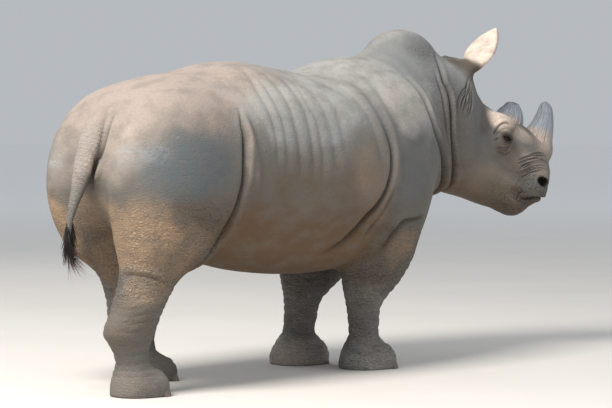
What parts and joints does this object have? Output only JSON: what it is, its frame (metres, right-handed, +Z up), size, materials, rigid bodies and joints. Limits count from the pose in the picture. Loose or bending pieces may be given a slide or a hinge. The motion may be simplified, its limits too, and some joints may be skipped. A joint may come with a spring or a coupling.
{
  "type": "white rhinoceros",
  "caption": "Life-size standing white rhinoceros, a still display model with its head turned aside, wide square muzzle, nose horns, cupped ears and a hanging tufted tail.",
  "frame": {"origin": "on the floor under the middle of the bounding box", "axes": "+X the way the body faces, along the trunk from tail to head; +Y the animal's left side; +Z up"},
  "size_m": [3.2794, 1.032, 1.761],
  "materials": {
    "skin": "matt, dry and dusty, finely creased",
    "horn": "matt, fibrous, worn",
    "eye": "wet gloss",
    "nail": "matt, rubbed",
    "tuft": "coarse hair"
  },
  "bodies": {
    "root": {"trunk": "skin", "neck": "skin", "head": "skin", "toenail_front_right_middle": "nail", "toenail_front_right_outer": "nail", "toenail_front_right_inner": "nail", "leg_front_right_upper": "skin", "leg_front_right_lower": "skin", "foot_front_right": "skin", "toenail_front_left_middle": "nail", "toenail_front_left_outer": "nail", "toenail_front_left_inner": "nail", "leg_front_left_upper": "skin", "leg_front_left_lower": "skin", "foot_front_left": "skin", "toenail_hind_right_middle": "nail", "toenail_hind_right_outer": "nail", "toenail_hind_right_inner": "nail", "leg_hind_right_upper": "skin", "leg_hind_right_lower": "skin", "foot_hind_right": "skin", "toenail_hind_left_middle": "nail", "toenail_hind_left_outer": "nail", "toenail_hind_left_inner": "nail", "leg_hind_left_upper": "skin", "leg_hind_left_lower": "skin", "foot_hind_left": "skin", "ear_right": "skin", "ear_left": "skin", "horn_front": "horn", "horn_rear": "horn", "eye_right": "eye", "eye_left": "eye", "tail": "skin", "tail_tuft": "tuft"}
  },
  "joints": []
}
